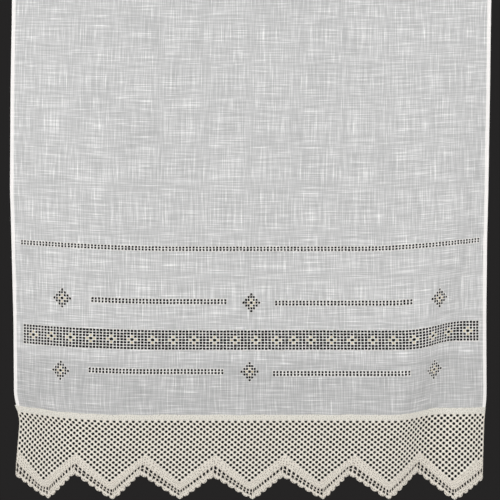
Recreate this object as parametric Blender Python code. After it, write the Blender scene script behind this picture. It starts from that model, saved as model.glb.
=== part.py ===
"""A sheer rod pocket curtain with a crocheted border, hanging straight from its top edge.

Each piece is drawn flat first, as it is cut: X runs across, Z runs down from the top edge and Y is
the cloth's thickness. The function hang then carries every flat point to the place where it hangs.
"""

import math
from collections import namedtuple

import bmesh
import bpy
import numpy as np
from mathutils import Vector
from mathutils.geometry import delaunay_2d_cdt

# Driving sizes, in metres
CLOTH_WIDTH = 0.7077
CLOTH_LENGTH = 0.7783
CLOTH_THICKNESS = 0.0012
HEM_WIDTH = 0.006
HEM_THICKNESS = 0.0024
SEAM_GAP = 0.0003

POCKET_WIDTH = 0.706
POCKET_ROUND = 0.009
POCKET_LENGTH = 0.045
POCKET_WALL = 0.0012
POCKET_SEAM = 0.006
POCKET_ARC_STEPS = 12

LACE_THICKNESS = 0.0018
HEADER_DROP = 0.0078
TEETH = 7
NOTCH_DROP = 0.8649
TIP_DROP = 0.9000
TIP_LEAN = 0.0045
SIDE_DROP = 0.8700
# The notches between the teeth, from left to right, sit this much higher than NOTCH_DROP
NOTCH_RISES = (0.0030, 0.0025, 0.0, 0.0, 0.0025, 0.0035)
NET_NOTCH_DROP = 0.8360
NET_TIP_DROP = 0.8735
SCALLOPS = 6
SCALLOP_DEPTH = 0.0024
SCALLOP_POINTS = 3

GAPS_ACROSS_PER_TOOTH = 5.5
GAP_ROW_PITCH = 0.00765
GAP_HALF_WIDTH = 0.0052
GAP_HALF_HEIGHT = 0.0042
GAP_ROWS = 11
SIDE_BAR = 0.012
ZIGZAG_BAR = 0.0075

PANEL_COLUMNS = 48
PANEL_ROWS = 15
LACE_COLUMNS = 42
TRIANGLES_INSIDE_OUTLINES = 1

# How the cloth hangs: each row of a fold holds at one drop below the top edge
Fold = namedtuple("Fold", "drop centre reach amount")
Side = namedtuple("Side", "drop left right")

LEFT_TURN_BACK = (
    Fold(0.045, -0.352, 0.200, 0.000),
    Fold(0.200, -0.352, 0.200, 0.030),
    Fold(0.535, -0.352, 0.220, 0.060),
    Fold(0.7785, -0.352, 0.230, 0.092),
    Fold(0.900, -0.352, 0.230, 0.084),
)
RIGHT_STEP_BACK = (
    Fold(0.045, 0.320, 0.110, 0.000),
    Fold(0.200, 0.320, 0.100, 0.016),
    Fold(0.535, 0.308, 0.090, 0.027),
    Fold(0.669, 0.280, 0.070, 0.029),
    Fold(0.7785, 0.243, 0.075, 0.029),
    Fold(0.900, 0.236, 0.080, 0.026),
)
RIGHT_TURN_BACK = (
    Fold(0.045, 0.352, 0.090, 0.000),
    Fold(0.500, 0.352, 0.090, 0.010),
    Fold(0.7785, 0.352, 0.090, 0.034),
    Fold(0.900, 0.352, 0.100, 0.036),
)
LEFT_LIFT = (
    Fold(0.045, -0.352, 0.50, 0.0000),
    Fold(0.535, -0.352, 0.50, 0.0215),
    Fold(0.669, -0.352, 0.50, 0.0180),
    Fold(0.7785, -0.352, 0.36, 0.0210),
    Fold(0.900, -0.352, 0.30, -0.0020),
)
RIGHT_LIFT = (
    Fold(0.045, 0.300, 0.290, 0.0000),
    Fold(0.535, 0.300, 0.290, 0.0185),
    Fold(0.669, 0.2665, 0.088, 0.0125),
    Fold(0.7785, 0.249, 0.082, 0.0080),
    Fold(0.900, 0.245, 0.100, -0.0040),
)
SIDES = (
    Side(0.000, -0.3530, 0.3530),
    Side(0.171, -0.3500, 0.3550),
    Side(0.300, -0.3530, 0.3542),
    Side(0.456, -0.3548, 0.3525),
    Side(0.535, -0.3530, 0.3512),
    Side(0.650, -0.3510, 0.3508),
    Side(0.764, -0.3510, 0.3516),
    Side(0.800, -0.3425, 0.3480),
    Side(0.860, -0.3478, 0.3458),
    Side(0.900, -0.3490, 0.3452),
)
WAVE_DEPTH = 0.0035
WAVE_LENGTH = 0.190
WAVE_START = 0.060
WAVE_FULL = 0.400

MAP_COLUMNS = 241
MAP_ROWS = 91
MAP_DROP = 0.910

# Colours and finish, from the photograph
VOILE_COLOUR = (0.60, 0.59, 0.58, 1.0)
CROCHET_COLOUR = (0.66, 0.63, 0.57, 1.0)
CLOTH_ROUGHNESS = 0.85


def clear_scene():
    for item in list(bpy.data.objects):
        bpy.data.objects.remove(item, do_unlink=True)


def soft_step(share):
    share = np.clip(share, 0.0, 1.0)
    return share * share * (3.0 - 2.0 * share)


def across_fold(across, drop, rows, side):
    """How much of a fold is reached at each point, growing towards the side (-1 left, 1 right)."""
    drops = [row.drop for row in rows]
    centre = np.interp(drop, drops, [row.centre for row in rows])
    reach = np.interp(drop, drops, [row.reach for row in rows])
    amount = np.interp(drop, drops, [row.amount for row in rows])
    return amount * soft_step(0.5 + side * (across - centre) / reach)


def depth_of(across, drop):
    """How far back the cloth stands."""
    wave = WAVE_DEPTH * soft_step((drop - WAVE_START) / WAVE_FULL)
    wave = wave * 0.5 * (1.0 - np.cos(2.0 * math.pi * (across + 0.02 * drop) / WAVE_LENGTH))
    turned = across_fold(across, drop, LEFT_TURN_BACK, -1)
    turned = turned + across_fold(across, drop, RIGHT_TURN_BACK, 1)
    return wave + turned + across_fold(across, drop, RIGHT_STEP_BACK, 1)


def lift_of(across, drop):
    """How far the cloth is drawn up."""
    left = across_fold(across, drop, LEFT_LIFT, -1)
    return left + across_fold(across, drop, RIGHT_LIFT, 1)


def hanging_map():
    """The hung place of an even grid of flat points, and its normals: row, column, axis."""
    flat_across = np.linspace(-CLOTH_WIDTH / 2, CLOTH_WIDTH / 2, MAP_COLUMNS)
    flat_drop = np.linspace(0.0, MAP_DROP, MAP_ROWS)
    across, drop = np.meshgrid(flat_across, flat_drop)
    depth = depth_of(across, drop)
    height = lift_of(across, drop) - drop
    spacing = flat_across[1] - flat_across[0]
    rise = np.diff(depth, axis=1) / spacing
    slope = np.diff(height, axis=1) / spacing
    step = spacing * np.sqrt(1.0 - rise ** 2 - slope ** 2)
    run = np.concatenate([np.zeros((MAP_ROWS, 1)), np.cumsum(step, axis=1)], axis=1)
    drops = [row.drop for row in SIDES]
    left = np.interp(flat_drop, drops, [row.left for row in SIDES])[:, None]
    right = np.interp(flat_drop, drops, [row.right for row in SIDES])[:, None]
    place = left + run / run[:, -1:] * (right - left)
    points = np.stack([place, depth, height], axis=2)
    normals = np.cross(np.gradient(points, axis=1), np.gradient(points, axis=0))
    normals /= np.linalg.norm(normals, axis=2, keepdims=True)
    return points, normals


HUNG_POINTS, HUNG_NORMALS = hanging_map()


def between(table, across, drop):
    """The table's value at each flat point, between its four neighbours."""
    column = (across / CLOTH_WIDTH + 0.5) * (MAP_COLUMNS - 1)
    row = drop / MAP_DROP * (MAP_ROWS - 1)
    left = np.clip(np.floor(column).astype(int), 0, MAP_COLUMNS - 2)
    upper = np.clip(np.floor(row).astype(int), 0, MAP_ROWS - 2)
    u = (column - left)[:, None]
    v = (row - upper)[:, None]
    top = table[upper, left] * (1 - u) + table[upper, left + 1] * u
    low = table[upper + 1, left] * (1 - u) + table[upper + 1, left + 1] * u
    return top * (1 - v) + low * v


def hang(mesh):
    """Carry a flat mesh to where the cloth hangs."""
    flat = np.empty(3 * len(mesh.vertices))
    mesh.vertices.foreach_get("co", flat)
    flat = flat.reshape(-1, 3)
    across, thick, drop = flat[:, 0], flat[:, 1], -flat[:, 2]
    hung = between(HUNG_POINTS, across, drop)
    hung = hung + thick[:, None] * between(HUNG_NORMALS, across, drop)
    mesh.vertices.foreach_set("co", hung.ravel())
    mesh.update()


def cloth_material(name, colour):
    material = bpy.data.materials.new(name)
    material.use_nodes = True
    material.diffuse_color = colour
    finish = material.node_tree.nodes["Principled BSDF"]
    finish.inputs["Base Color"].default_value = colour
    finish.inputs["Roughness"].default_value = CLOTH_ROUGHNESS
    finish.inputs["Metallic"].default_value = 0.0
    return material


def add_object(name, mesh, material):
    piece = bpy.data.objects.new(name, mesh)
    bpy.context.scene.collection.objects.link(piece)
    mesh.materials.clear()
    mesh.materials.append(material)
    return piece


def mesh_of(shape, name):
    mesh = bpy.data.meshes.new(name)
    shape.to_mesh(mesh)
    shape.free()
    return mesh


def cut_lines(shape, places, axis):
    """Cut the whole shape by planes across one axis, so that it can bend there."""
    normal = (1, 0, 0) if axis == "across" else (0, 0, 1)
    for place in places:
        point = (place, 0, 0) if axis == "across" else (0, 0, -place)
        everything = shape.verts[:] + shape.edges[:] + shape.faces[:]
        bmesh.ops.bisect_plane(shape, geom=everything, dist=1e-6, plane_co=point, plane_no=normal)


def even_cuts(start, end, count):
    return [start + (end - start) * step / count for step in range(1, count)]


def pocket_outline(shrink):
    """One wall's cross section: a half round over the rod, then two flat sides down to the seam."""
    radius = POCKET_ROUND - shrink
    points = []
    for step in range(POCKET_ARC_STEPS + 1):
        angle = math.pi * step / POCKET_ARC_STEPS
        points.append((radius * math.cos(angle), -POCKET_ROUND + radius * math.sin(angle)))
    if shrink:
        points.append((0.0, -(POCKET_LENGTH - POCKET_SEAM)))
    else:
        points.append((-POCKET_WALL, -(POCKET_LENGTH - POCKET_SEAM)))
        points.append((-POCKET_WALL, -POCKET_LENGTH))
        points.append((POCKET_WALL, -POCKET_LENGTH))
        points.append((POCKET_WALL, -(POCKET_LENGTH - POCKET_SEAM)))
    return points


def make_rod_pocket(material):
    """The turned over heading: one wall round a channel that is open at both ends."""
    shape = bmesh.new()
    rings = []
    for shrink in (0.0, POCKET_WALL):
        outline = pocket_outline(shrink)
        corners = [shape.verts.new((-POCKET_WIDTH / 2, y, z)) for y, z in outline]
        rings += [shape.edges.new((corners[i - 1], corners[i])) for i in range(len(corners))]
    bmesh.ops.triangle_fill(shape, edges=rings, use_beauty=True)
    wall = shape.faces[:]
    drawn = bmesh.ops.extrude_face_region(shape, geom=wall)["geom"]
    moved = [item for item in drawn if isinstance(item, bmesh.types.BMVert)]
    bmesh.ops.translate(shape, verts=moved, vec=(POCKET_WIDTH, 0, 0))
    bmesh.ops.recalc_face_normals(shape, faces=shape.faces[:])
    bmesh.ops.triangulate(shape, faces=shape.faces[:])
    piece = add_object("rod_pocket", mesh_of(shape, "rod_pocket"), material)
    piece.data.shade_smooth()
    piece.data.set_sharp_from_angle(angle=math.radians(40))


def make_panel(material):
    """The voile, cut as one length, thicker where each side is turned into a hem."""
    top = POCKET_LENGTH + SEAM_GAP
    half = CLOTH_WIDTH / 2
    shape = bmesh.new()
    bmesh.ops.create_cube(shape, size=1.0)
    size = (CLOTH_WIDTH, CLOTH_THICKNESS, CLOTH_LENGTH - top)
    bmesh.ops.scale(shape, verts=shape.verts[:], vec=size)
    bmesh.ops.translate(shape, verts=shape.verts[:], vec=(0, 0, -(top + CLOTH_LENGTH) / 2))
    hem = half - HEM_WIDTH
    cut_lines(shape, [-hem, hem], "across")
    cut_lines(shape, even_cuts(-hem, hem, PANEL_COLUMNS), "across")
    cut_lines(shape, even_cuts(top, CLOTH_LENGTH, PANEL_ROWS), "drop")
    for corner in shape.verts:
        if abs(corner.co.x) > half - HEM_WIDTH / 2:
            corner.co.y *= HEM_THICKNESS / CLOTH_THICKNESS
    bmesh.ops.triangulate(shape, faces=shape.faces[:])
    mesh = mesh_of(shape, "panel")
    hang(mesh)
    piece = add_object("panel", mesh, material)
    piece.data.shade_smooth()
    piece.data.set_sharp_from_angle(angle=math.radians(40))


def tooth_edge():
    """The scalloped lower edge of the border, from left to right."""
    pitch = CLOTH_WIDTH / TEETH
    notch_drops = [SIDE_DROP] + [NOTCH_DROP - rise for rise in NOTCH_RISES] + [SIDE_DROP]
    points = []
    for tooth in range(TEETH):
        left = -CLOTH_WIDTH / 2 + tooth * pitch
        tip = (left + pitch / 2 + TIP_LEAN, TIP_DROP)
        points += scalloped_flank((left, notch_drops[tooth]), tip)
        points += scalloped_flank(tip, (left + pitch, notch_drops[tooth + 1]))
    points.append((CLOTH_WIDTH / 2, SIDE_DROP))
    return points


def scalloped_flank(start, end):
    """Points along one flank of a tooth, each scallop a low arch outwards."""
    run, fall = end[0] - start[0], end[1] - start[1]
    length = math.hypot(run, fall)
    outward = (-fall / length, run / length)
    points = []
    for scallop in range(SCALLOPS):
        for step in range(SCALLOP_POINTS):
            along = (scallop + step / SCALLOP_POINTS) / SCALLOPS
            bulge = SCALLOP_DEPTH * math.sin(math.pi * step / SCALLOP_POINTS)
            points.append((start[0] + run * along + outward[0] * bulge,
                           start[1] + fall * along + outward[1] * bulge))
    return points


def net_edge_drop(across):
    """How far down the net reaches, at the upper line of the solid zigzag."""
    pitch = CLOTH_WIDTH / TEETH
    place = ((across + CLOTH_WIDTH / 2) / pitch) % 1.0
    share = 1.0 - abs(2.0 * place - 1.0)
    return NET_NOTCH_DROP + (NET_TIP_DROP - NET_NOTCH_DROP) * share


def net_gaps():
    """Centres of the net's gaps, at twice the real net's pitch, every other row half a step on."""
    pitch = CLOTH_WIDTH / TEETH / GAPS_ACROSS_PER_TOOTH
    first_row = CLOTH_LENGTH + SEAM_GAP + HEADER_DROP + GAP_HALF_HEIGHT + SEAM_GAP
    columns = int(CLOTH_WIDTH / pitch)
    gaps = []
    for row in range(GAP_ROWS):
        drop = first_row + row * GAP_ROW_PITCH
        for column in range(-columns, columns + 1):
            across = (column + 0.5 * (row % 2)) * pitch
            inside = abs(across) < CLOTH_WIDTH / 2 - SIDE_BAR - GAP_HALF_WIDTH
            if inside and drop + ZIGZAG_BAR < net_edge_drop(across):
                gaps.append((across, drop))
    return gaps


def make_lace_border(material):
    """The crocheted border: a solid header, a net of diamond gaps and a solid scalloped zigzag."""
    top = CLOTH_LENGTH + SEAM_GAP
    half = CLOTH_WIDTH / 2
    upper_edge = [(half - CLOTH_WIDTH * step / LACE_COLUMNS, top) for step in range(LACE_COLUMNS + 1)]
    outlines = [upper_edge + tooth_edge()]
    outlines += [gap_outline(across, drop) for across, drop in net_gaps()]
    corners, edges, owners = [], [], []
    for number, outline in enumerate(outlines):
        first = len(corners)
        corners += [Vector((across, -drop)) for across, drop in outline]
        edges += [(first + step, first + (step + 1) % len(outline)) for step in range(len(outline))]
        owners += [number] * len(outline)
    flat, _, triangles, sources, _, _ = delaunay_2d_cdt(
        corners, edges, [], TRIANGLES_INSIDE_OUTLINES, 1e-6)
    shape = bmesh.new()
    placed = [shape.verts.new((corner.x, -LACE_THICKNESS / 2, corner.y)) for corner in flat]
    for triangle in triangles:
        touched = {owners[sources[index][0]] for index in triangle}
        lies_in_a_gap = len(touched) == 1 and touched != {0}
        if not lies_in_a_gap:
            shape.faces.new([placed[index] for index in triangle])
    drawn = bmesh.ops.extrude_face_region(shape, geom=shape.faces[:])["geom"]
    moved = [item for item in drawn if isinstance(item, bmesh.types.BMVert)]
    bmesh.ops.translate(shape, verts=moved, vec=(0, LACE_THICKNESS, 0))
    bmesh.ops.recalc_face_normals(shape, faces=shape.faces[:])
    if shape.calc_volume(signed=True) < 0:
        bmesh.ops.reverse_faces(shape, faces=shape.faces[:])
    bmesh.ops.triangulate(shape, faces=shape.faces[:])
    mesh = mesh_of(shape, "lace_border")
    hang(mesh)
    piece = add_object("lace_border", mesh, material)
    piece.data.shade_smooth()
    piece.data.set_sharp_from_angle(angle=math.radians(40))


def gap_outline(across, drop):
    return [
        (across - GAP_HALF_WIDTH, drop),
        (across, drop - GAP_HALF_HEIGHT),
        (across + GAP_HALF_WIDTH, drop),
        (across, drop + GAP_HALF_HEIGHT),
    ]


def main():
    clear_scene()
    voile = cloth_material("voile", VOILE_COLOUR)
    crochet = cloth_material("crochet_cotton", CROCHET_COLOUR)
    make_rod_pocket(voile)
    make_panel(voile)
    make_lace_border(crochet)


main()
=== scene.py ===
"""Looks of the rod pocket curtain: slub voile, drawn thread work, and a crocheted border.

Every cloth piece is drawn flat first, as it is cut: X runs across, Z runs down from the top edge and
Y is the cloth's thickness. The function hang then carries it to where the curtain hangs.
"""

import math
from bisect import bisect_right
from collections import namedtuple

import bmesh
import bpy
import numpy as np
from mathutils import Matrix, Vector


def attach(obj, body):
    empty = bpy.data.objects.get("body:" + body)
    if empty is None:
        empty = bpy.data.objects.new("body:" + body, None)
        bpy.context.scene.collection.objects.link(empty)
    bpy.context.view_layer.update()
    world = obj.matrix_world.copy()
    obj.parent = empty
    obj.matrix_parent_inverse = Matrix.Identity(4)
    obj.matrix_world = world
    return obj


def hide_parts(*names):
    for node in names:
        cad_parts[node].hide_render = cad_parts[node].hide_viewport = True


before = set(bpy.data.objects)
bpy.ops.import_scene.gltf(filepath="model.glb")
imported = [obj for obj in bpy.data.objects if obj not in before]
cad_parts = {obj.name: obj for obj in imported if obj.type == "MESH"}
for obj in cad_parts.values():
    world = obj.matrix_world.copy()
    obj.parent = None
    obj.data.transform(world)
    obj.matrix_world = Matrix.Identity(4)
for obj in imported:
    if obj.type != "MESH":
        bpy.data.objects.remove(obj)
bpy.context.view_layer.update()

# Sizes of the flat cloth, in metres, as in the solids but for the header's depth
CLOTH_WIDTH = 0.7077
CLOTH_LENGTH = 0.7783
POCKET_WIDTH = 0.706
POCKET_ROUND = 0.009
POCKET_LENGTH = 0.045
HEM_WIDTH = 0.006
HEADER_DROP = 0.0083
TEETH = 7
TIP_DROP = 0.9000

# How the cloth hangs: each row of a fold holds at one drop below the top edge
Fold = namedtuple("Fold", "drop centre reach amount")
Side = namedtuple("Side", "drop left right")

LEFT_TURN_BACK = (
    Fold(0.045, -0.352, 0.200, 0.000),
    Fold(0.200, -0.352, 0.200, 0.030),
    Fold(0.535, -0.352, 0.220, 0.060),
    Fold(0.7785, -0.352, 0.230, 0.092),
    Fold(0.900, -0.352, 0.230, 0.084),
)
RIGHT_STEP_BACK = (
    Fold(0.045, 0.320, 0.110, 0.000),
    Fold(0.200, 0.320, 0.100, 0.016),
    Fold(0.535, 0.308, 0.090, 0.027),
    Fold(0.669, 0.280, 0.070, 0.029),
    Fold(0.7785, 0.243, 0.075, 0.029),
    Fold(0.900, 0.236, 0.080, 0.026),
)
RIGHT_TURN_BACK = (
    Fold(0.045, 0.352, 0.090, 0.000),
    Fold(0.500, 0.352, 0.090, 0.010),
    Fold(0.7785, 0.352, 0.090, 0.034),
    Fold(0.900, 0.352, 0.100, 0.036),
)
LEFT_LIFT = (
    Fold(0.045, -0.352, 0.50, 0.0000),
    Fold(0.535, -0.352, 0.50, 0.0215),
    Fold(0.669, -0.352, 0.50, 0.0180),
    Fold(0.7785, -0.352, 0.36, 0.0210),
    Fold(0.900, -0.352, 0.30, -0.0020),
)
RIGHT_LIFT = (
    Fold(0.045, 0.300, 0.290, 0.0000),
    Fold(0.535, 0.300, 0.290, 0.0185),
    Fold(0.669, 0.2665, 0.088, 0.0125),
    Fold(0.7785, 0.249, 0.082, 0.0080),
    Fold(0.900, 0.245, 0.100, -0.0040),
)
SIDES = (
    Side(0.000, -0.3530, 0.3530),
    Side(0.171, -0.3500, 0.3550),
    Side(0.300, -0.3530, 0.3542),
    Side(0.456, -0.3548, 0.3525),
    Side(0.535, -0.3530, 0.3512),
    Side(0.650, -0.3510, 0.3508),
    Side(0.764, -0.3510, 0.3516),
    Side(0.800, -0.3425, 0.3480),
    Side(0.860, -0.3478, 0.3458),
    Side(0.900, -0.3490, 0.3452),
)
WAVE_DEPTH = 0.0035
WAVE_LENGTH = 0.190
WAVE_START = 0.060
WAVE_FULL = 0.400
WAVE_SLANT = 0.02

# The even grid of flat points for which the hung place is worked out
MAP_COLUMNS = 241
MAP_ROWS = 91
MAP_DROP = 0.910

# Drawn thread work: holes between bars of wrapped thread
Openwork = namedtuple("Openwork", "name left right columns drop rows row_pitch hole_across hole_down")
Diamond = namedtuple("Diamond", "across drop pitch")

BAND = Openwork("band", -0.3341, 0.3391, 137, 0.6688, 7, 0.00416, 0.0039, 0.0032)
DOUBLE_ROWS = (
    Openwork("double_row_full", -0.3367, 0.3396, 139, 0.5350, 2, 0.0036, 0.0030, 0.0028),
    Openwork("double_row_upper_left", -0.2280, -0.0360, 40, 0.6125, 2, 0.0040, 0.0030, 0.0032),
    Openwork("double_row_upper_right", 0.0375, 0.2330, 40, 0.6146, 2, 0.0040, 0.0030, 0.0032),
    Openwork("double_row_lower_left", -0.2305, -0.0405, 40, 0.7150, 2, 0.0040, 0.0030, 0.0032),
    Openwork("double_row_lower_right", 0.0335, 0.2275, 40, 0.7178, 2, 0.0040, 0.0030, 0.0032),
)
# Left, middle and right, first in the upper line and then in the lower one
DIAMONDS = (
    Diamond(-0.2730, 0.6125, 0.00405),
    Diamond(0.0015, 0.6140, 0.00375),
    Diamond(0.2760, 0.6140, 0.00385),
    Diamond(-0.2740, 0.7180, 0.00385),
    Diamond(-0.0015, 0.7150, 0.00375),
    Diamond(0.2715, 0.7205, 0.00385),
)
DIAMOND_REACH = 3
DIAMOND_DOWN = 0.00412
DIAMOND_BAR = 0.0007
DIAMOND_HOLE_DOWN = 0.00335
FIRST_FLOWER_COLUMN = 3
# Columns from each flower to the next: the worker counted two of them short
FLOWER_STEPS = (6,) * 12 + (5, 5) + (6,) * 8
RIM = 0.0010
EYE_POINT_ACROSS = 0.0012
EYE_POINT_DOWN = 0.0006
THREAD_THICKNESS = 0.0009
THREAD_ROUND = 0.0002
HAND_WORK_SPREAD = 0.00015
# A flower eye's own corners are sought this much past its half sizes, which reaches no others
EYE_SEARCH = 1.1

# Petals of ivory thread: how far each stands past the next cell's middle, and half its size
Petal = namedtuple("Petal", "past_across past_down half_across half_down")
BAND_PETAL = Petal(0.0003, 0.0002, 0.0027, 0.0023)
DIAMOND_PETAL = Petal(0.0003, 0.0003, 0.0022, 0.0022)
PETAL_THICKNESS = 0.0014

# The voile's own grid, and how far it runs on under the pocket's seam and the border's
PANEL_COLUMNS = 110
PANEL_ROWS = 96
SEAM_TUCK = 0.002

# Side hems: three layers of voile, a little uneven along the inner fold
HEM_COLUMNS = 4
HEM_ROWS = 150
HEM_TUCK = 0.001
HEM_THICKNESS = 0.0013
HEM_SPREAD = 0.0002
HEM_INNER_SHARE = 0.9

# Rod pocket: its layers lie this far from the middle, turned over the rod in so many steps
POCKET_LAYER = 0.0006
POCKET_TURN_STEPS = 14
POCKET_COLUMNS = 60
# The stitches of the seam that closes the pocket stand out a little on both faces
STITCH_LENGTH = 0.0024
STITCH_GAP = 0.0009
STITCH_DROP = 0.0425
STITCH_OUT = 0.0013
STITCH_RADIUS = 0.00035

# Crocheted border
NET_COLUMNS = 153
NET_ROWS = 24
NET_ROW = 0.003715
NET_RIM = 0.0012
NET_COLUMN = (CLOTH_WIDTH - 2 * NET_RIM) / NET_COLUMNS
FIRST_TIP_COLUMN = 10
COLUMNS_PER_TOOTH = 22
ROWS_BELOW_LAST_GAP = 0.45
GAP_GROWTH_ACROSS = 0.00080
GAP_GROWTH_DOWN = 0.00120
LAST_FLANK_SLOPE = 0.78
# The net runs on this far under the zigzag, and a gap is cut where this share of its row hangs
NET_RUN_ON = 0.0012
GAP_NEEDS = 0.9
# How near to its cell's middle a face has to lie, and how near to a line a corner
MIDDLE_OF_CELL = 0.0005
ON_A_LINE = 0.0001
LACE_THICKNESS = 0.0017
HEADER_THICKNESS = 0.0020
ZIGZAG_THICKNESS = 0.0021
CROCHET_SPREAD = 0.00014
# Header: its grid, how far it laps the voile, its stitches, its wavy edges, and its corner that sticks out
HEADER_COLUMNS = 308
HEADER_ROWS = 4
HEADER_LAP = 0.0002
HEADER_STITCH = 0.0023
STITCH_DEPTH = 0.00025
STITCH_RISE = 0.0001
EDGE_WAVE = 0.0003
EDGE_WAVE_LONG = 0.0105
EDGE_WAVE_SHORT = 0.0071
HEADER_EAR_WIDTH = 0.0080
HEADER_EAR_REACH = 0.0034
# How far the header and the zigzag lap the net
NET_TUCK = 0.0008
FLANK_SLOTS = 11
SLOT_LINES = (0.0, 0.17, 0.50, 0.83)
SLOTS_PER_SCALLOP = 2
SCALLOP_DEPTH = 0.0040
SCALLOP_ROUNDNESS = 0.6
TIP_SCALLOP_SHARE = 0.55
# Stitches stand square to the flank, but turn upright within this share of it from the tip and the notch
STITCH_LEAN = 0.70
UPRIGHT_SHARE = 0.30
ZIGZAG_WIDTH = 0.0238
ZigzagLine = namedtuple("ZigzagLine", "across outer_drop bulge_across bulge_down side run lean")
# How far each tip of the edging leans from the middle of its tooth, and each notch from its even place
TIP_LEANS = (0.0080, 0.0044, 0.0008, 0.0053, 0.0067, 0.0011, 0.0045)
NOTCH_LEANS = (0.0, -0.0020, -0.0071, -0.0022, -0.0023, -0.0079, -0.0025, 0.0)
NOTCH_DROPS = (0.8700, 0.8615, 0.8620, 0.8655, 0.8655, 0.8620, 0.8600, 0.8720)
DOWN_FLANK_ROWS = (0.0, 0.14, 0.28, 0.42, 0.558, 0.697, 0.748, 0.886, 1.0)
UP_FLANK_ROWS = (0.0, 0.15, 0.30, 0.43, 0.555, 0.725, 0.810, 0.905, 1.0)
DOWN_SLOT_ROWS = (4, 6)
UP_SLOT_ROWS = (4,)

# Slubs of three kinds: length and thickness in mm, strength, and where in the noise one starts
Slub = namedtuple("Slub", "length thick strength start")
SLUBS = (
    Slub(64.0, 1.1, 0.34, 0.36),
    Slub(26.0, 0.8, 0.20, 0.36),
    Slub(34.0, 1.3, 0.36, 0.60),
)
SLUB_FULL = 0.88
# The share of light that plain voile stops, and what threads and slubs add to it; below the worked band it
# stops less, as painted shade
PLAIN_COVER = 0.785
THREAD_COVER = 0.03
SLUB_COVER = 0.17
LOWER_SHADE_COVER = -0.10
LOWER_SHADE_DROPS = (0.688, 0.712)

# Studio: the softboxes point at the cloth's middle
Softbox = namedtuple("Softbox", "name place width watts")
SOFTBOXES = (
    Softbox("front_left_softbox", (-2.2, -1.7, 0.10), 1.4, 64.0),
    Softbox("front_right_softbox", (2.2, -1.7, 0.10), 1.4, 59.5),
    Softbox("back_softbox", (0.8, 3.2, 0.60), 2.0, 85.0),
    Softbox("top_softbox", (0.0, 0.3, 1.90), 1.6, 20.0),
)
CLOTH_MIDDLE = (0.0, 0.0, -0.45)
ROOM_COLOUR = "#262525"
FLOOR_HALF_SIZE = (9.0, 6.7, 1.0)
FLOOR_PLACE = (0.0, -2.3, -1.5)
CAMERA_PLACE = (0.0, -3.0, -0.5368)
CAMERA_SENSOR_MM = 36.0
CAMERA_LENS_MM = 147.5


def linear(hex_colour):
    """An sRGB hex colour as linear red, green, blue and one."""
    parts = [int(hex_colour[start:start + 2], 16) / 255 for start in (1, 3, 5)]
    return [part / 12.92 if part <= 0.04045 else ((part + 0.055) / 1.055) ** 2.4 for part in parts] + [1.0]


def add_node(tree, kind, inputs=None, **settings):
    """Add a node with its settings. Each input is a value, or the output of a node that feeds it."""
    node = tree.nodes.new("ShaderNode" + kind)
    for name, value in settings.items():
        setattr(node, name, value)
    for name, value in (inputs or {}).items():
        if isinstance(value, bpy.types.NodeSocket):
            tree.links.new(value, node.inputs[name])
        else:
            node.inputs[name].default_value = value
    return node


def start_material(name, **sockets):
    """A new material with its node tree and its shader, whose sockets get these values."""
    material = bpy.data.materials.new(name)
    material.use_nodes = True
    finish = material.node_tree.nodes["Principled BSDF"]
    for socket, value in sockets.items():
        finish.inputs[socket.replace("_", " ")].default_value = value
    return material, material.node_tree, finish


def dress(tree, finish, pattern, stops, height=None, strength=0.0, depth=0.0):
    """Colour the surface along a pattern, from (place, sRGB hex) pairs, and raise it along a height."""
    colours = add_node(tree, "ValToRGB", {"Fac": pattern})
    elements = colours.color_ramp.elements
    while len(elements) < len(stops):
        elements.new(0.5)
    for element, (place, colour) in zip(elements, stops):
        element.position = place
        element.color = linear(colour)
    tree.links.new(colours.outputs["Color"], finish.inputs["Base Color"])
    if height is not None:
        bump = add_node(tree, "Bump", {"Strength": strength, "Distance": depth, "Height": height})
        tree.links.new(bump.outputs["Normal"], finish.inputs["Normal"])


def weighted_sum(tree, parts, base=0.0):
    """The base plus each pattern times its share, from (pattern, share) pairs."""
    total = base
    for pattern, share in parts:
        total = add_node(tree, "Math", {0: pattern, 1: share, 2: total},
                         operation="MULTIPLY_ADD").outputs["Value"]
    return total


def sharpened(tree, pattern, low, high):
    """A pattern's rise from low to high, as a smooth step from 0 to 1."""
    return add_node(tree, "MapRange", {"Value": pattern, "From Min": low, "From Max": high},
                    interpolation_type="SMOOTHSTEP").outputs["Result"]


def cloth_uv(tree):
    """The flat place on the cloth, in metres."""
    return add_node(tree, "UVMap", uv_map="cloth").outputs["UV"]


def in_cells(tree, cloth, across_mm, down_mm):
    """The flat place on the cloth, counted in cells of this size."""
    scale = (1000 / across_mm, 1000 / down_mm, 1)
    return add_node(tree, "Mapping", {"Vector": cloth, "Scale": scale}).outputs["Vector"]


def stretched_noise(tree, cloth, across_mm, down_mm, detail):
    """Noise whose grains have this size on the flat cloth."""
    place = in_cells(tree, cloth, across_mm, down_mm)
    return add_node(tree, "TexNoise", {"Vector": place, "Scale": 1.0, "Detail": detail, "Roughness": 0.5},
                    noise_dimensions="2D").outputs["Fac"]


def slub_pattern(tree, cloth):
    """Thick places of hand spun thread, both across and down the cloth, from 0 to about 1."""
    parts = []
    for slub in SLUBS:
        for across_mm, down_mm in ((slub.length, slub.thick), (slub.thick, slub.length)):
            noise = stretched_noise(tree, cloth, across_mm, down_mm, 0.0)
            parts.append((sharpened(tree, noise, slub.start, SLUB_FULL), slub.strength))
    return weighted_sum(tree, parts)


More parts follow.
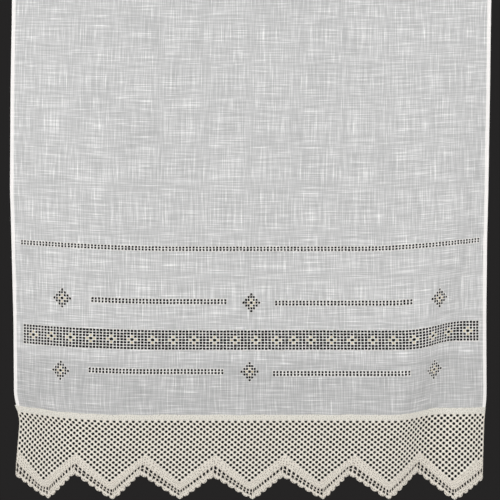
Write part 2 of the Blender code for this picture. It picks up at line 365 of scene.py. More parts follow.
def thread_grid(tree, cloth, thread_mm):
    """The single threads of a plain weave, drawn coarser than the real 0.4 mm so that they show."""
    place = in_cells(tree, cloth, thread_mm, thread_mm)
    weft, warp = [
        add_node(tree, "TexWave", {"Vector": place, "Scale": 0.5, "Distortion": 0.6, "Detail": 1.0},
                 wave_type="BANDS", bands_direction=direction).outputs["Fac"]
        for direction in ("Y", "X")
    ]
    return add_node(tree, "Math", {0: weft, 1: warp}, operation="MAXIMUM").outputs["Value"]


def slub_voile():
    """Plain woven slub cotton voile: sheer and matte, with thicker threads that read as pale streaks.

    Below the worked band it lets more of the dark room show through, as painted shade, so it looks a little
    darker there.
    """
    material, tree, finish = start_material("slub_voile", Roughness=0.88, Sheen_Weight=0.1)
    cloth = cloth_uv(tree)
    slubs = slub_pattern(tree, cloth)
    dress(tree, finish, slubs, ((0.0, "#BABBBB"), (0.5, "#D6D6D6"), (1.0, "#F2F2F1")), slubs, 0.25, 0.0003)
    threads = thread_grid(tree, cloth, thread_mm=1.1)
    drop = add_node(tree, "SeparateXYZ", {"Vector": cloth}).outputs["Y"]
    # Painted shade: less cover below the worked band lets the dark room darken the lower voile
    painted_lower_shade = sharpened(tree, drop, *LOWER_SHADE_DROPS)
    changes = ((threads, THREAD_COVER), (painted_lower_shade, LOWER_SHADE_COVER), (slubs, SLUB_COVER))
    cover = weighted_sum(tree, changes, PLAIN_COVER)
    tree.links.new(cover, finish.inputs["Alpha"])
    return material


def folded_hem():
    """The same voile turned in three layers: no light comes through, so it reads as bright white."""
    material, tree, finish = start_material("folded_voile_hem", Roughness=0.88, Sheen_Weight=0.15)
    slubs = slub_pattern(tree, cloth_uv(tree))
    dress(tree, finish, slubs, ((0.0, "#E8E6E4"), (1.0, "#F7F4F2")), slubs, 0.4, 0.0004)
    return material


def wrapped_thread(name, dark, light):
    """Soft twisted cotton thread, wrapped round a bar: matte, with a fine ridge at every turn."""
    material, tree, finish = start_material(name, Roughness=0.82, Sheen_Weight=0.2)
    cloth = cloth_uv(tree)
    worn = stretched_noise(tree, cloth, 6.0, 6.0, 2.0)
    turns = thread_grid(tree, cloth, thread_mm=0.8)
    dress(tree, finish, worn, ((0.3, dark), (0.7, light)), turns, 0.3, 0.0002)
    return material


def crochet_cotton(name, dark, light, stitch_mm, row_mm, pit):
    """Four ply cotton yarn in close stitches: matte ivory, with painted shade in the pits between stitches.
    """
    material, tree, finish = start_material(name, Roughness=0.9, Sheen_Weight=0.15)
    cloth = cloth_uv(tree)
    place = in_cells(tree, cloth, stitch_mm, row_mm)
    pits = add_node(tree, "TexVoronoi", {"Vector": place, "Scale": 1.0, "Randomness": 0.5},
                    voronoi_dimensions="2D").outputs["Distance"]
    raised = sharpened(tree, pits, 0.08, 0.45)
    yarn = stretched_noise(tree, cloth, 2.6, 2.6, 3.0)
    height = weighted_sum(tree, ((raised, pit), (yarn, 1.0 - pit)))
    # The dark end of the ramp is painted shade in the pits, mixed with the yarn's own random tone; the same
    # height raises the stitches
    dress(tree, finish, height, ((0.18, dark), (0.62, light)), height, 0.6, 0.0006)
    return material


def net_cotton(name, dark, light):
    """The same yarn in an open net, with painted highlights on the blocks of trebles and painted shade on the
    chains between.
    """
    material, tree, finish = start_material(name, Roughness=0.9, Sheen_Weight=0.15)
    cloth = cloth_uv(tree)
    start = (CLOTH_WIDTH / 2 - NET_RIM, -(CLOTH_LENGTH + HEADER_DROP), 0.0)
    half_turns = (math.pi / NET_COLUMN, math.pi / NET_ROW, 0.0)
    place = add_node(tree, "VectorMath", {0: cloth, 1: start}, operation="ADD").outputs["Vector"]
    place = add_node(tree, "VectorMath", {0: place, 1: half_turns}, operation="MULTIPLY").outputs["Vector"]
    apart = add_node(tree, "SeparateXYZ", {"Vector": place}).outputs
    across = add_node(tree, "Math", {0: apart["X"]}, operation="SINE").outputs["Value"]
    down = add_node(tree, "Math", {0: apart["Y"]}, operation="SINE").outputs["Value"]
    # Painted light: lighter on the blocks of trebles, darker on the chains between; the same pattern also
    # raises the blocks
    blocks = add_node(tree, "Math", {0: across, 1: down}, operation="MULTIPLY").outputs["Value"]
    yarn = stretched_noise(tree, cloth, 2.2, 2.2, 3.0)
    height = weighted_sum(tree, ((blocks, 0.3), (yarn, 0.4)), 0.3)
    dress(tree, finish, height, ((0.40, dark), (0.72, light)), height, 0.6, 0.0008)
    return material


def studio_floor_paint():
    """Plain matt board, pale and slightly mottled."""
    material, tree, finish = start_material("pale_board", Roughness=0.95)
    place = add_node(tree, "TexCoord").outputs["Object"]
    mottle = add_node(tree, "TexNoise", {"Vector": place, "Scale": 3.0, "Detail": 3.0}).outputs["Fac"]
    dress(tree, finish, mottle, ((0.3, "#CFCDCB"), (0.7, "#D6D4D2")))
    return material


def soft_step(share):
    """A smooth step from 0 to 1."""
    share = np.clip(share, 0.0, 1.0)
    return share * share * (3.0 - 2.0 * share)


def across_fold(across, drop, rows, side):
    """How much of a fold is reached at each point, growing towards the side (-1 left, 1 right)."""
    drops = [row.drop for row in rows]
    centre = np.interp(drop, drops, [row.centre for row in rows])
    reach = np.interp(drop, drops, [row.reach for row in rows])
    amount = np.interp(drop, drops, [row.amount for row in rows])
    return amount * soft_step(0.5 + side * (across - centre) / reach)


def depth_of(across, drop):
    """How far back the cloth stands."""
    wave = WAVE_DEPTH * soft_step((drop - WAVE_START) / WAVE_FULL)
    wave = wave * 0.5 * (1.0 - np.cos(2.0 * math.pi * (across + WAVE_SLANT * drop) / WAVE_LENGTH))
    turned = across_fold(across, drop, LEFT_TURN_BACK, -1)
    turned = turned + across_fold(across, drop, RIGHT_TURN_BACK, 1)
    return wave + turned + across_fold(across, drop, RIGHT_STEP_BACK, 1)


def lift_of(across, drop):
    """How far the cloth is drawn up."""
    left = across_fold(across, drop, LEFT_LIFT, -1)
    return left + across_fold(across, drop, RIGHT_LIFT, 1)


def hanging_map():
    """The hung place of an even grid of flat points, and its normals: row, column, axis."""
    flat_across = np.linspace(-CLOTH_WIDTH / 2, CLOTH_WIDTH / 2, MAP_COLUMNS)
    flat_drop = np.linspace(0.0, MAP_DROP, MAP_ROWS)
    across, drop = np.meshgrid(flat_across, flat_drop)
    depth = depth_of(across, drop)
    height = lift_of(across, drop) - drop
    spacing = flat_across[1] - flat_across[0]
    rise = np.diff(depth, axis=1) / spacing
    slope = np.diff(height, axis=1) / spacing
    step = spacing * np.sqrt(1.0 - rise ** 2 - slope ** 2)
    run = np.concatenate([np.zeros((MAP_ROWS, 1)), np.cumsum(step, axis=1)], axis=1)
    drops = [row.drop for row in SIDES]
    left = np.interp(flat_drop, drops, [row.left for row in SIDES])[:, None]
    right = np.interp(flat_drop, drops, [row.right for row in SIDES])[:, None]
    place = left + run / run[:, -1:] * (right - left)
    points = np.stack([place, depth, height], axis=2)
    normals = np.cross(np.gradient(points, axis=1), np.gradient(points, axis=0))
    normals /= np.linalg.norm(normals, axis=2, keepdims=True)
    return points, normals


HUNG_POINTS, HUNG_NORMALS = hanging_map()


def between(table, across, drop):
    """The table's value at each flat point, between its four neighbours."""
    column = (across / CLOTH_WIDTH + 0.5) * (MAP_COLUMNS - 1)
    row = drop / MAP_DROP * (MAP_ROWS - 1)
    left = np.clip(np.floor(column).astype(int), 0, MAP_COLUMNS - 2)
    upper = np.clip(np.floor(row).astype(int), 0, MAP_ROWS - 2)
    u = (column - left)[:, None]
    v = (row - upper)[:, None]
    top = table[upper, left] * (1 - u) + table[upper, left + 1] * u
    low = table[upper + 1, left] * (1 - u) + table[upper + 1, left + 1] * u
    return top * (1 - v) + low * v


def hang(mesh):
    """Carry a flat mesh to where the cloth hangs."""
    flat = np.empty(3 * len(mesh.vertices))
    mesh.vertices.foreach_get("co", flat)
    flat = flat.reshape(-1, 3)
    across, thick, drop = flat[:, 0], flat[:, 1], -flat[:, 2]
    hung = between(HUNG_POINTS, across, drop)
    hung = hung + thick[:, None] * between(HUNG_NORMALS, across, drop)
    mesh.vertices.foreach_set("co", hung.ravel())
    mesh.update()


def add_cloth_uv(shape):
    """The flat place of every corner, in metres, so that weave and stitches follow the cloth."""
    if "cloth" in shape.loops.layers.uv:
        return
    layer = shape.loops.layers.uv.new("cloth")
    for face in shape.faces:
        for loop in face.loops:
            loop[layer].uv = (loop.vert.co.x, -loop.vert.co.z)


def finish_piece(name, shape, material, thickness=0.0, rounds=0, chamfer=0.0,
                 node="panel", hung=True):
    """Hang a flat shape, give it its thickness and let it ride with the curtain."""
    add_cloth_uv(shape)
    mesh = bpy.data.meshes.new(name)
    shape.to_mesh(mesh)
    shape.free()
    if hung:
        hang(mesh)
    piece = bpy.data.objects.new(name, mesh)
    bpy.context.scene.collection.objects.link(piece)
    mesh.materials.append(material)
    mesh.shade_smooth()
    if thickness:
        wall = piece.modifiers.new("thickness", "SOLIDIFY")
        wall.thickness = thickness
        wall.offset = 0.0
    if chamfer:
        edge = piece.modifiers.new("rounded thread", "BEVEL")
        edge.width = chamfer
        edge.segments = 1
    if rounds:
        smooth = piece.modifiers.new("soft edges", "SUBSURF")
        smooth.levels = rounds
        smooth.render_levels = rounds
    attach(piece, "root")
    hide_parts(node)
    return piece


def finish_bars(name, shape, thread, seed):
    """Finish a lattice of bars wrapped with thread, a little uneven as hand work is."""
    work_by_hand(shape, HAND_WORK_SPREAD, seed)
    return finish_piece(name, shape, thread, thickness=THREAD_THICKNESS, chamfer=THREAD_ROUND)


def finish_lace(name, shape, crochet, thickness):
    """Finish a piece of the crocheted border, with the round edges of yarn."""
    return finish_piece(name, shape, crochet, thickness=thickness, rounds=1,
                        node="lace_border")


def join_shape(shape, added):
    """Add another shape's faces to a shape."""
    part = bpy.data.meshes.new("part")
    added.to_mesh(part)
    added.free()
    shape.from_mesh(part)
    bpy.data.meshes.remove(part)


def even_lines(start, end, count):
    """Places from start to end with this many even steps between them."""
    return [start + (end - start) * step / count for step in range(count + 1)]


def line_grid(across_lines, drop_lines):
    """A flat grid whose lines run at these places."""
    columns, rows = len(across_lines) - 1, len(drop_lines) - 1
    shape = bmesh.new()
    bmesh.ops.create_grid(shape, x_segments=columns, y_segments=rows, size=0.5)
    for corner in shape.verts:
        column = round((corner.co.x + 0.5) * columns)
        row = round((0.5 - corner.co.y) * rows)
        corner.co = (across_lines[column], 0.0, -drop_lines[row])
    return shape


def cell_of(face, across_lines, drop_lines):
    """The column and row of a grid's cell."""
    middle = face.calc_center_median()
    return bisect_right(across_lines, middle.x) - 1, bisect_right(drop_lines, -middle.z) - 1


def work_by_hand(shape, spread, seed):
    """Small uneven shifts that hand work has."""
    chance = np.random.default_rng(seed)
    for corner in shape.verts:
        across, down = chance.normal(0.0, spread, 2)
        corner.co.x += across
        corner.co.z += down


def hole_lines(centres, size, rim):
    """Grid lines at both edges of every hole, with a narrow rim outside the first and the last."""
    lines = [centres[0] - size / 2 - rim]
    for centre in centres:
        lines += [centre - size / 2, centre + size / 2]
    return lines + [centres[-1] + size / 2 + rim]


def openwork_centres(work):
    """Middles of the columns and of the rows of holes."""
    across = even_lines(work.left, work.right, work.columns - 1)
    first_drop = work.drop - (work.rows - 1) * work.row_pitch / 2
    return across, [first_drop + work.row_pitch * row for row in range(work.rows)]


def diamond_centres(diamond):
    """Middles of the columns and of the rows that a diamond's longest lines reach."""
    steps = range(-DIAMOND_REACH, DIAMOND_REACH + 1)
    across = [diamond.across + diamond.pitch * step for step in steps]
    return across, [diamond.drop + DIAMOND_DOWN * step for step in steps]


def add_lattice(shape, across_lines, drop_lines, is_hole):
    """Add a lattice of bars: every second cell is a hole, where is_hole says so, or stays filled."""
    lattice = line_grid(across_lines, drop_lines)
    holes, filled = set(), set()
    for face in lattice.faces:
        column, row = cell_of(face, across_lines, drop_lines)
        if column % 2 and row % 2:
            state = is_hole((column - 1) // 2, (row - 1) // 2)
            if state is not None:
                (holes if state else filled).add((column, row))
    worked = holes | filled
    doomed = []
    for face in lattice.faces:
        column, row = cell_of(face, across_lines, drop_lines)
        near = any((column + right, row + down) in worked for right in (-1, 0, 1) for down in (-1, 0, 1))
        if (column, row) in holes or not near:
            doomed.append(face)
    bmesh.ops.delete(lattice, geom=doomed, context="FACES")
    join_shape(shape, lattice)


def widen_eye(shape, across, drop, half_across, half_down):
    """Draw the middle of each side of a flower's eye outwards, so that it comes to four points."""
    reach_across, reach_down = half_across * EYE_SEARCH, half_down * EYE_SEARCH
    corners = [
        corner for corner in shape.verts
        if abs(corner.co.x - across) < reach_across and abs(-corner.co.z - drop) < reach_down
    ]
    sides = {edge for corner in corners for edge in corner.link_edges if edge.other_vert(corner) in corners}
    cut = bmesh.ops.subdivide_edges(shape, edges=list(sides), cuts=1)
    for point in cut["geom_inner"]:
        if isinstance(point, bmesh.types.BMVert):
            right, down = point.co.x - across, -point.co.z - drop
            if abs(right) > abs(down):
                point.co.x += math.copysign(EYE_POINT_ACROSS, right)
            else:
                point.co.z -= math.copysign(EYE_POINT_DOWN, down)


def cut_inside(shape, left, right, top, bottom, lines, margin=0.004):
    """Cut the faces near a rectangle along lines, each an (axis, place) pair."""
    for axis, place in lines:
        faces = [
            face for face in shape.faces
            if max(v.co.x for v in face.verts) > left - margin
            and min(v.co.x for v in face.verts) < right + margin
            and max(-v.co.z for v in face.verts) > top - margin
            and min(-v.co.z for v in face.verts) < bottom + margin
        ]
        corners = {corner for face in faces for corner in face.verts}
        edges = {edge for face in faces for edge in face.edges}
        point = (place, 0, 0) if axis == "across" else (0, 0, -place)
        normal = (1, 0, 0) if axis == "across" else (0, 0, 1)
        bmesh.ops.bisect_plane(shape, geom=list(corners) + list(edges) + faces, dist=1e-7,
                               plane_co=point, plane_no=normal)


def cut_away(shape, across_lines, drop_lines, is_cut):
    """Cut an openwork area's cells out of the voile."""
    left, right, top, bottom = across_lines[0], across_lines[-1], drop_lines[0], drop_lines[-1]
    lines = [("across", place) for place in across_lines] + [("drop", place) for place in drop_lines]
    cut_inside(shape, left, right, top, bottom, lines)
    doomed = []
    for face in shape.faces:
        middle = face.calc_center_median()
        if left < middle.x < right and top < -middle.z < bottom:
            column, row = cell_of(face, across_lines, drop_lines)
            if is_cut(column, row):
                doomed.append(face)
    bmesh.ops.delete(shape, geom=doomed, context="FACES")


def steps_from_eye(column, row):
    """How many cells, across and down, lie between a diamond's cell and its eye."""
    return abs(column - DIAMOND_REACH) + abs(row - DIAMOND_REACH)


def in_diamond(column, row):
    return steps_from_eye(column, row) <= DIAMOND_REACH


def is_diamond_hole(column, row):
    """False for the four filled cells round the eye, and None outside the diamond."""
    return steps_from_eye(column, row) != 1 if in_diamond(column, row) else None


def make_panel(voile):
    """The sheer voile, cut away where the drawn thread work is."""
    half = CLOTH_WIDTH / 2 - HEM_WIDTH / 2
    drop_lines = even_lines(POCKET_LENGTH - SEAM_TUCK, CLOTH_LENGTH + SEAM_TUCK, PANEL_ROWS)
    shape = line_grid(even_lines(-half, half, PANEL_COLUMNS), drop_lines)
    for work in (BAND,) + DOUBLE_ROWS:
        across, drops = openwork_centres(work)
        edge_across, edge_down = work.hole_across / 2 + RIM / 2, work.hole_down / 2 + RIM / 2
        outline_across = [across[0] - edge_across, across[-1] + edge_across]
        outline_drop = [drops[0] - edge_down, drops[-1] + edge_down]
        cut_away(shape, outline_across, outline_drop, lambda column, row: True)
    for diamond in DIAMONDS:
        across, drops = diamond_centres(diamond)
        across_lines = [place - diamond.pitch / 2 for place in across] + [across[-1] + diamond.pitch / 2]
        drop_lines = [place - DIAMOND_DOWN / 2 for place in drops] + [drops[-1] + DIAMOND_DOWN / 2]
        cut_away(shape, across_lines, drop_lines, in_diamond)
    return finish_piece("panel_voile", shape, voile)


def make_side_hems(hem):
    """Narrow double hems down both sides."""
    shape = bmesh.new()
    drop_lines = even_lines(POCKET_LENGTH, CLOTH_LENGTH + HEM_TUCK, HEM_ROWS)
    for side in (-1, 1):
        outer = side * CLOTH_WIDTH / 2
        inner = side * (CLOTH_WIDTH / 2 - HEM_WIDTH)
        join_shape(shape, line_grid(sorted(even_lines(inner, outer, HEM_COLUMNS)), drop_lines))
    chance = np.random.default_rng(11)
    for corner in shape.verts:
        if abs(corner.co.x) < CLOTH_WIDTH / 2 - HEM_WIDTH * HEM_INNER_SHARE:
            corner.co.x += chance.normal(0.0, HEM_SPREAD)
    return finish_piece("side_hems", shape, hem, thickness=HEM_THICKNESS, rounds=1)


def flower_places():
    """Columns of the flowers' middles."""
    places = [FIRST_FLOWER_COLUMN]
    for step in FLOWER_STEPS:
        places.append(places[-1] + step)
    return places


def make_double_row(work, thread):
    """Hemstitching: two lines of small holes between wrapped bars."""
    across, drops = openwork_centres(work)
    shape = bmesh.new()
    add_lattice(shape, hole_lines(across, work.hole_across, RIM), hole_lines(drops, work.hole_down, RIM),
                lambda column, row: True)
    return finish_bars(work.name + "_bars", shape, thread, seed=work.columns + round(work.drop * 1000))


def make_band(thread):
    """Seven lines of holes, with the four cells round every flower's eye left filled."""
    across, drops = openwork_centres(BAND)
    middle = BAND.rows // 2
    flowers = flower_places()

    def is_hole(column, row):
        return not any(abs(column - centre) + abs(row - middle) == 1 for centre in flowers)

    shape = bmesh.new()
    add_lattice(shape, hole_lines(across, BAND.hole_across, RIM), hole_lines(drops, BAND.hole_down, RIM),
                is_hole)
    for centre in flowers:
        widen_eye(shape, across[centre], drops[middle], BAND.hole_across / 2, BAND.hole_down / 2)
    return finish_bars(BAND.name + "_bars", shape, thread, seed=19)


def add_petals(shape, across, drop, pitch, row_pitch, petal):
    """Four soft ovals of satin stitch round a flower's eye."""
    size = Matrix.Diagonal((petal.half_across, PETAL_THICKNESS / 2, petal.half_down, 1.0))
    for right, down in ((-1, 0), (1, 0), (0, -1), (0, 1)):
        petal_across = across + right * (pitch + petal.past_across)
        petal_drop = drop + down * (row_pitch + petal.past_down)
        place = Matrix.Translation((petal_across, 0.0, -petal_drop))
        bmesh.ops.create_uvsphere(shape, u_segments=8, v_segments=6, radius=1.0, matrix=place @ size)


def make_flower_knots(thread):
    """Petals of ivory thread round the eyes of the band's flowers."""
    across, drops = openwork_centres(BAND)
    shape = bmesh.new()
    for centre in flower_places():
        add_petals(shape, across[centre], drops[BAND.rows // 2], across[1] - across[0], BAND.row_pitch,
                   BAND_PETAL)
    work_by_hand(shape, HAND_WORK_SPREAD, seed=23)
    return finish_piece("flower_knots", shape, thread)


def make_diamonds(thread):
    """The small lozenges of drawn thread work."""
    shape = bmesh.new()
    for diamond in DIAMONDS:
        across, drops = diamond_centres(diamond)
        hole_across = diamond.pitch - DIAMOND_BAR
        add_lattice(shape, hole_lines(across, hole_across, DIAMOND_BAR),
                    hole_lines(drops, DIAMOND_HOLE_DOWN, DIAMOND_DOWN - DIAMOND_HOLE_DOWN), is_diamond_hole)
        widen_eye(shape, diamond.across, diamond.drop, hole_across / 2, DIAMOND_HOLE_DOWN / 2)
    return finish_bars("diamond_bars", shape, thread, seed=31)


def make_diamond_knots(thread):
    """Petals of ivory thread round the eyes of the diamonds."""
    shape = bmesh.new()
    for diamond in DIAMONDS:
        add_petals(shape, diamond.across, diamond.drop, diamond.pitch, DIAMOND_DOWN, DIAMOND_PETAL)
    work_by_hand(shape, HAND_WORK_SPREAD, seed=37)
    return finish_piece("diamond_knots", shape, thread)


def make_rod_pocket(voile):
    """The heading turned over the rod and stitched down, open at both ends.

    Its weave runs on round the fold, so the cloth's drop is measured along the outline.
    """
    outline = [(-POCKET_LAYER, -POCKET_LENGTH)]
    radius = POCKET_ROUND - POCKET_LAYER
    for step in range(POCKET_TURN_STEPS + 1):
        angle = math.pi * (1.0 - step / POCKET_TURN_STEPS)
        outline.append((radius * math.cos(angle), -POCKET_ROUND + radius * math.sin(angle)))
    outline.append((POCKET_LAYER, -POCKET_LENGTH))
    drops = [POCKET_LENGTH]
    for first, second in zip(outline, outline[1:]):
        drops.append(drops[-1] - math.dist(first, second))
    shape = bmesh.new()
    corners = [shape.verts.new((-POCKET_WIDTH / 2, y, z)) for y, z in outline]
    edges = [shape.edges.new((first, second)) for first, second in zip(corners, corners[1:])]
    for _ in range(POCKET_COLUMNS):
        drawn = bmesh.ops.extrude_edge_only(shape, edges=edges)["geom"]
        moved = [item for item in drawn if isinstance(item, bmesh.types.BMVert)]
        edges = [item for item in drawn if isinstance(item, bmesh.types.BMEdge)]
        bmesh.ops.translate(shape, verts=moved, vec=(POCKET_WIDTH / POCKET_COLUMNS, 0, 0))
    bmesh.ops.recalc_face_normals(shape, faces=shape.faces[:])
    layer = shape.loops.layers.uv.new("cloth")
    for corner in shape.verts:
        place = (corner.co.y, corner.co.z)
        number = min(range(len(outline)), key=lambda point: math.dist(outline[point], place))
        for loop in corner.link_loops:
            loop[layer].uv = (corner.co.x, drops[number])
    return finish_piece("rod_pocket_voile", shape, voile, node="rod_pocket", hung=False)


def make_seam_stitches(thread):
    """A row of machine stitches that closes the pocket."""
    shape = bmesh.new()
    count = int(POCKET_WIDTH / (STITCH_LENGTH + STITCH_GAP))
    size = Matrix.Diagonal((STITCH_LENGTH / 2, STITCH_RADIUS, STITCH_RADIUS, 1.0))
    for number in range(count):
        across = -POCKET_WIDTH / 2 + (number + 0.5) * POCKET_WIDTH / count
        for back in (-1, 1):
            place = Matrix.Translation((across, back * STITCH_OUT, -STITCH_DROP))
            bmesh.ops.create_icosphere(shape, subdivisions=1, radius=1.0, matrix=place @ size)
    return finish_piece("pocket_stitches", shape, thread, node="rod_pocket", hung=False)


def rows_reached(column):
    """How many rows of the net hang at a column, which may be a part of one."""
    reached = []
    for tooth in range(TEETH):
        away = column - (FIRST_TIP_COLUMN + COLUMNS_PER_TOOTH * tooth)
        slope = LAST_FLANK_SLOPE if tooth == TEETH - 1 and away > 0 else 1.0
        reached.append(NET_ROWS - slope * abs(away))
    return max(reached)


def net_edge_drop(across):
    """How far down the net reaches, at the upper line of the solid zigzag."""
    column = (across + CLOTH_WIDTH / 2 - NET_RIM) / NET_COLUMN - 0.5
    return CLOTH_LENGTH + HEADER_DROP + NET_ROW * (rows_reached(column) + ROWS_BELOW_LAST_GAP)


def make_lace_net(crochet):
    """The net: every second cell of a fine grid is a small gap, as in a lattice of trebles."""
    half = CLOTH_WIDTH / 2
    top = CLOTH_LENGTH + HEADER_DROP
    across_lines = [-half] + even_lines(-half + NET_RIM, half - NET_RIM, NET_COLUMNS) + [half]
    drop_lines = [top - NET_RIM] + [top + NET_ROW * row for row in range(NET_ROWS + 2)]
    shape = line_grid(across_lines, drop_lines)
    inner = [corner for corner in shape.verts if not corner.is_boundary]
    bmesh.ops.bevel(shape, geom=inner, offset=50.0, offset_type="PERCENT", affect="VERTICES",
                    segments=1, profile=0.5, material=-1, clamp_overlap=False)
    bmesh.ops.remove_doubles(shape, verts=shape.verts[:], dist=1e-6)
    gaps, outside = [], []
    for face in shape.faces:
        middle = face.calc_center_median()
        column, row = cell_of(face, across_lines, drop_lines)
        centre = ((across_lines[column] + across_lines[column + 1]) / 2,
                  (drop_lines[row] + drop_lines[row + 1]) / 2)
        in_cell = math.hypot(middle.x - centre[0], -middle.z - centre[1]) < MIDDLE_OF_CELL
        column, row = column - 1, row - 1
        if -middle.z > net_edge_drop(middle.x) + NET_RUN_ON:
            outside.append(face)
        elif in_cell and is_gap(column, row) and 0 <= column < NET_COLUMNS:
            if row + GAP_NEEDS < rows_reached(column):
                gaps.append(face)
    bmesh.ops.delete(shape, geom=gaps + outside, context="FACES")
    for corner in shape.verts:
        push_from_gap(corner, across_lines, drop_lines)
    work_by_hand(shape, CROCHET_SPREAD, seed=41)
    return finish_lace("lace_net", shape, crochet, LACE_THICKNESS)


def is_gap(column, row):
    """Gaps and blocks of stitches take turns, both across and down."""
    return row >= 0 and (column - row) % 2 == 1


def push_from_gap(corner, across_lines, drop_lines):
    """Push a corner, which lies on the middle of a cell's side, out of the cell that is a gap."""
    across, drop = corner.co.x, -corner.co.z
    column = bisect_right(across_lines, across + ON_A_LINE) - 1
    row = bisect_right(drop_lines, drop + ON_A_LINE) - 1
    if not (0 < column < len(across_lines) - 1 and 0 < row < len(drop_lines) - 1):
        return
    away = -1 if is_gap(column, row) else 1
    if abs(across - across_lines[column]) < ON_A_LINE:
        corner.co.x += away * GAP_GROWTH_ACROSS
    elif abs(drop - drop_lines[row]) < ON_A_LINE:
        corner.co.z -= away * GAP_GROWTH_DOWN


def make_lace_header(crochet):
    """The close band of double crochet along the cloth."""
    half = CLOTH_WIDTH / 2
    top = CLOTH_LENGTH - HEADER_LAP
    height = HEADER_DROP + NET_TUCK
    shape = line_grid(even_lines(-half, half, HEADER_COLUMNS), even_lines(top, top + height, HEADER_ROWS))
    chance = np.random.default_rng(43)
    for corner in shape.verts:
        upper = 1.0 + (corner.co.z + top) / height
        stitch = math.cos(corner.co.x / HEADER_STITCH * math.pi)
        wave = math.sin(corner.co.x / EDGE_WAVE_LONG) + math.sin(corner.co.x / EDGE_WAVE_SHORT + 1.0)
        shift = chance.normal(0.0, CROCHET_SPREAD)
        corner.co.y = -STITCH_DEPTH * stitch
        corner.co.z += shift + STITCH_RISE * stitch + EDGE_WAVE * wave * upper
        corner.co.x -= HEADER_EAR_REACH * upper * max(0.0, 1.0 - (corner.co.x + half) / HEADER_EAR_WIDTH)
    return finish_lace("lace_header", shape, crochet, HEADER_THICKNESS)


def zigzag_columns():
    """The grid lines across the zigzag: place, outer drop, scallop's bulge, flank, run and lean."""
    pitch = CLOTH_WIDTH / TEETH
    scallops = FLANK_SLOTS / SLOTS_PER_SCALLOP
    notches = [-CLOTH_WIDTH / 2 + number * pitch + lean for number, lean in enumerate(NOTCH_LEANS)]
    lines = []
    run = 0.0
    for tooth in range(TEETH):
        tip = -CLOTH_WIDTH / 2 + (tooth + 0.5) * pitch + TIP_LEANS[tooth]
        flanks = (
            (notches[tooth], NOTCH_DROPS[tooth], tip, TIP_DROP, "down"),
            (tip, TIP_DROP, notches[tooth + 1], NOTCH_DROPS[tooth + 1], "up"),
        )
        for start, start_drop, end, end_drop, side in flanks:
            length = math.hypot(end - start, end_drop - start_drop)
            outward = Vector((-(end_drop - start_drop), end - start)) / length
            for slot in range(FLANK_SLOTS):
                for part in SLOT_LINES:
                    along = (slot + part) / FLANK_SLOTS
                    lean = STITCH_LEAN * min(1.0, along / UPRIGHT_SHARE, (1.0 - along) / UPRIGHT_SHARE)
                    from_notch = scallops * (along if side == "down" else 1.0 - along)
                    across_lobe = 2.0 * (from_notch % 1.0) - 1.0
                    bulge = outward * SCALLOP_DEPTH * max(0.0, 1.0 - across_lobe ** 2) ** SCALLOP_ROUNDNESS
                    at_tip = max(0.0, (from_notch - math.floor(scallops)) / (scallops % 1.0))
                    if at_tip > 0.0:
                        straight_down = Vector((0.0, bulge.length))
                        bulge = bulge.lerp(straight_down, at_tip)
                        bulge *= 1.0 - (1.0 - TIP_SCALLOP_SHARE) * at_tip
                    across = start + (end - start) * along
                    outer_drop = start_drop + (end_drop - start_drop) * along
                    lines.append(ZigzagLine(across, outer_drop, bulge.x, bulge.y, side, run + length * along,
                                            -outward.x * outward.y * lean))
            run += length
    lines.append(ZigzagLine(CLOTH_WIDTH / 2, NOTCH_DROPS[-1], 0.0, 0.0, "up", run, 0.0))
    return lines


def make_lace_zigzag(crochet):
    """The solid zigzag and its scalloped edging, with rows of slots along each flank."""
    lines = zigzag_columns()
    rows = len(DOWN_FLANK_ROWS) - 1
    shape = bmesh.new()
    bmesh.ops.create_grid(shape, x_segments=len(lines) - 1, y_segments=rows, size=0.5)
    layer = shape.loops.layers.uv.new("cloth")
    slots = []
    for face in shape.faces:
        middle = face.calc_center_median()
        column = int((middle.x + 0.5) * (len(lines) - 1))
        row = int((0.5 - middle.y) * rows)
        slot_rows = DOWN_SLOT_ROWS if lines[column].side == "down" else UP_SLOT_ROWS
        if row in slot_rows and column % len(SLOT_LINES) in (1, 2):
            slots.append(face)
        for loop in face.loops:
            run = lines[round((loop.vert.co.x + 0.5) * (len(lines) - 1))].run
            loop[layer].uv = (run, (0.5 - loop.vert.co.y) * ZIGZAG_WIDTH)
    for corner in shape.verts:
        line = lines[round((corner.co.x + 0.5) * (len(lines) - 1))]
        row = round((0.5 - corner.co.y) * rows)
        share = (DOWN_FLANK_ROWS if line.side == "down" else UP_FLANK_ROWS)[row]
        inner_across = line.across + line.lean * (line.outer_drop - net_edge_drop(line.across))
        inner_drop = net_edge_drop(inner_across) - NET_TUCK
        across = inner_across + (line.across - inner_across) * share
        drop = inner_drop + (line.outer_drop - inner_drop) * share
        if row == rows:
            across += line.bulge_across
            drop += line.bulge_down
        corner.co = (across, 0.0, -drop)
    bmesh.ops.delete(shape, geom=slots, context="FACES")
    work_by_hand(shape, CROCHET_SPREAD, seed=47)
    return finish_lace("lace_zigzag", shape, crochet, ZIGZAG_THICKNESS)


def make_floor():
    """A plain pale floor well below the hem, too short to reach the camera's view."""
    shape = bmesh.new()
    bmesh.ops.create_grid(shape, x_segments=4, y_segments=4, size=1.0)
    bmesh.ops.scale(shape, verts=shape.verts[:], vec=FLOOR_HALF_SIZE)
    bmesh.ops.translate(shape, verts=shape.verts[:], vec=FLOOR_PLACE)
    mesh = bpy.data.meshes.new("floor")
    shape.to_mesh(mesh)
    shape.free()
    mesh.materials.append(studio_floor_paint())
    floor = bpy.data.objects.new("floor", mesh)
    bpy.context.scene.collection.objects.link(floor)


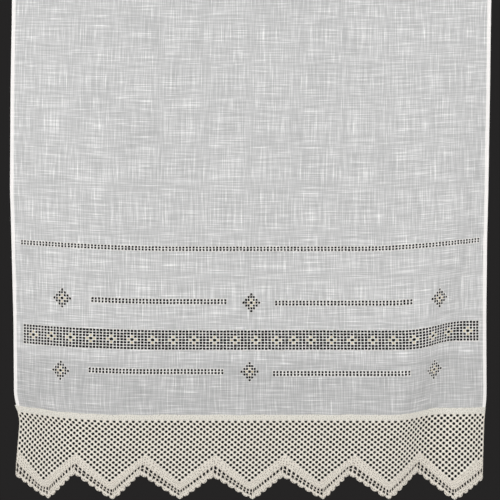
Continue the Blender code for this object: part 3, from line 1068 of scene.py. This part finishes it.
def add_softbox(softbox):
    """A square area light that points at the cloth's middle."""
    data = bpy.data.lights.new(softbox.name, "AREA")
    data.shape = "RECTANGLE"
    data.size = softbox.width
    data.size_y = softbox.width
    data.energy = softbox.watts
    light = bpy.data.objects.new(softbox.name, data)
    light.location = softbox.place
    direction = Vector(CLOTH_MIDDLE) - Vector(softbox.place)
    light.rotation_euler = direction.to_track_quat("-Z", "Y").to_euler()
    bpy.context.scene.collection.objects.link(light)


def make_studio():
    """Soft even light from the front, weaker ones from behind and above, against plain dark grey."""
    for softbox in SOFTBOXES:
        add_softbox(softbox)
    world = bpy.data.worlds.new("grey_room")
    world.use_nodes = True
    world.node_tree.nodes["Background"].inputs["Color"].default_value = linear(ROOM_COLOUR)
    bpy.context.scene.world = world
    bpy.context.scene.view_settings.view_transform = "Standard"


def make_camera():
    """Square to the cloth, level with the middle of what the photograph shows."""
    data = bpy.data.cameras.new("camera")
    data.sensor_width = CAMERA_SENSOR_MM
    data.lens = CAMERA_LENS_MM
    camera = bpy.data.objects.new("camera", data)
    camera.location = CAMERA_PLACE
    camera.rotation_euler = (math.radians(90), 0.0, 0.0)
    bpy.context.scene.collection.objects.link(camera)
    bpy.context.scene.camera = camera


def main():
    voile = slub_voile()
    hem = folded_hem()
    white_thread = wrapped_thread("white_sewing_cotton", "#CFCECB", "#E3E2DE")
    ivory_thread = wrapped_thread("ivory_embroidery_cotton", "#B7AB90", "#C8BDA2")
    # The dark ends of the three crochet colours are partly painted shade: in the pits between stitches, and
    # on the net's chains
    open_cotton = net_cotton("crochet_cotton_net", "#C6C1B5", "#E9E4DA")
    close_cotton = crochet_cotton("crochet_cotton_close", "#7E766A", "#DAD4C9", 3.2, 2.8, 0.6)
    header_cotton = crochet_cotton("crochet_cotton_header", "#9C988E", "#DDDAD1", 2.6, 2.3, 0.4)
    panel = make_panel(voile)
    worked = [make_side_hems(hem), make_band(white_thread)]
    worked += [make_double_row(work, white_thread) for work in DOUBLE_ROWS]
    worked += [make_flower_knots(ivory_thread), make_diamonds(white_thread), make_diamond_knots(ivory_thread)]
    pocket = make_rod_pocket(voile)
    stitches = make_seam_stitches(white_thread)
    net = make_lace_net(open_cotton)
    border = [make_lace_header(header_cotton), make_lace_zigzag(close_cotton)]
    # The panel is cut with a tuck at both seams, and the net's height is its mean
    make_floor()
    make_studio()
    make_camera()


main()
